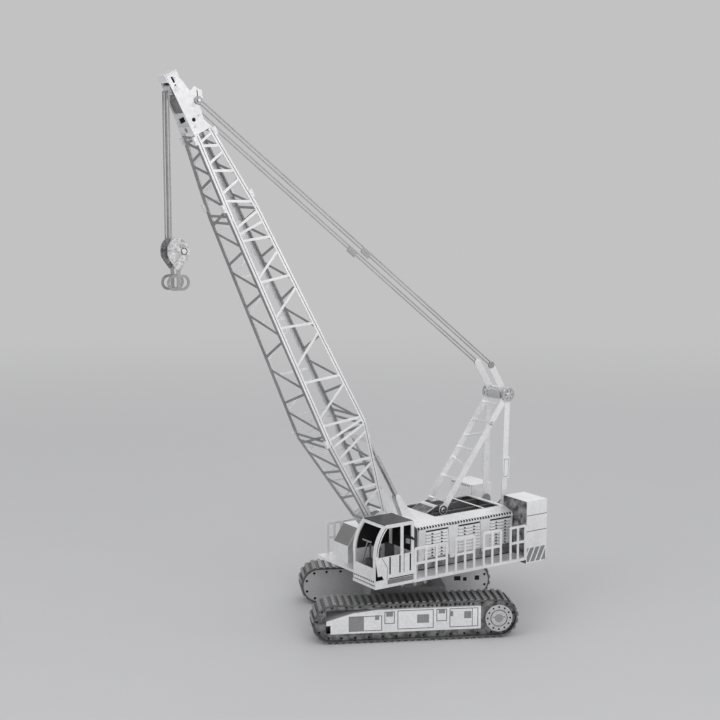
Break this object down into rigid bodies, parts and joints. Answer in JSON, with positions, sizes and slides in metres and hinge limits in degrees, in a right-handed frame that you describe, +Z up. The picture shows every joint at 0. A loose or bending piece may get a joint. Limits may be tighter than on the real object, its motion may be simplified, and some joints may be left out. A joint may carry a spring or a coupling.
{
  "type": "etched sheet metal model of a crawler crane",
  "caption": "Etched sheet metal model of a crawler crane with a lattice boom, gantry, pendants and hook block; the upper works turn and the boom luffs.",
  "frame": {"origin": "slew axis on the surface that the tracks stand on", "axes": "+Z up, +X forward along the boom, +Y to the cab side"},
  "size_m": [0.1692, 0.0988, 0.2291],
  "materials": {
    "bright_sheet": "polished",
    "etched_sheet": "matte etched",
    "track_sheet": "matte etched",
    "turned_steel": "polished",
    "line_sheet": "polished"
  },
  "bodies": {
    "undercarriage": {"carbody": "etched_sheet", "slew_ring": "etched_sheet", "track_left": "track_sheet", "track_right": "track_sheet", "track_plates": "etched_sheet", "track_frames": "bright_sheet", "final_drives": "turned_steel"},
    "upper_works": {"turntable": "etched_sheet", "deck": "bright_sheet", "frame_plates": "etched_sheet", "side_walls": "bright_sheet", "front_wall": "etched_sheet", "rear_wall": "etched_sheet", "roof_edges": "bright_sheet", "roof_plate": "bright_sheet", "railings": "bright_sheet", "counterweights": "bright_sheet", "cab_left": "bright_sheet", "cab_right": "bright_sheet", "cab_front": "bright_sheet", "cab_rear_wall": "bright_sheet", "cab_roof": "bright_sheet", "cab_interior": "etched_sheet", "front_box": "bright_sheet", "boom_foot_pin": "turned_steel", "backstop_brackets": "bright_sheet", "gantry_front": "bright_sheet", "gantry_back": "bright_sheet", "gantry_head": "turned_steel"},
    "boom": {"boom_butt_sides": "bright_sheet", "boom_butt_faces": "bright_sheet", "boom_middle_sides": "bright_sheet", "boom_middle_faces": "bright_sheet", "boom_tip_sides": "bright_sheet", "boom_tip_faces": "bright_sheet", "boom_head": "bright_sheet", "boom_head_cap": "bright_sheet", "boom_sheave": "turned_steel", "backstop_beam": "bright_sheet"},
    "pendant_pair": {"pendants": "line_sheet"},
    "bail": {"bail_links": "bright_sheet"},
    "stop_barrels": {"backstop_barrels": "turned_steel"},
    "stop_rods": {"backstop_rods": "turned_steel"},
    "hook_block": {"hoist_lines": "line_sheet", "block_cheeks": "bright_sheet", "block_sheave": "turned_steel", "hook": "bright_sheet"}
  },
  "joints": [
    {"name": "slew", "type": "hinge", "parent": "undercarriage", "child": "upper_works", "pos_m": [0, 0, 0], "axis": [0, 0, 1], "continuous": true},
    {"name": "boom_luff", "type": "hinge", "parent": "upper_works", "child": "boom", "pos_m": [0.01395, 0, 0.03905], "axis": [0, -1, 0], "range_deg": [0, 10]},
    {"name": "bail_swing", "type": "hinge", "parent": "upper_works", "child": "bail", "pos_m": [-0.0515, 0, 0.0935], "axis": [0, -1, 0], "range_deg": [0, 76.91]},
    {"name": "pendant_swing", "type": "hinge", "parent": "boom", "child": "pendant_pair", "pos_m": [0.09861, 0, 0.21808], "axis": [0, -1, 0], "range_deg": [-3.89, 0]},
    {"name": "backstop_swing", "type": "hinge", "parent": "upper_works", "child": "stop_barrels", "pos_m": [0.0083, 0, 0.055], "axis": [0, -1, 0], "range_deg": [0, 14.13]},
    {"name": "backstop_slide", "type": "slide", "parent": "stop_barrels", "child": "stop_rods", "axis": [0.487, 0, 0.8734], "range_m": [-0.00197, 0]},
    {"name": "hoist_swing", "type": "hinge", "parent": "boom", "child": "hook_block", "pos_m": [0.10687, 0, 0.22202], "axis": [0, 1, 0], "range_deg": [-15, 10]}
  ],
  "couplings": [
    {"joint": "bail_swing", "follows": "boom_luff", "ratio": 7.6898},
    {"joint": "pendant_swing", "follows": "boom_luff", "ratio": -0.38782},
    {"joint": "backstop_swing", "follows": "boom_luff", "ratio": 1.4122},
    {"joint": "backstop_slide", "follows": "boom_luff", "m_per_rad": -0.011225}
  ]
}
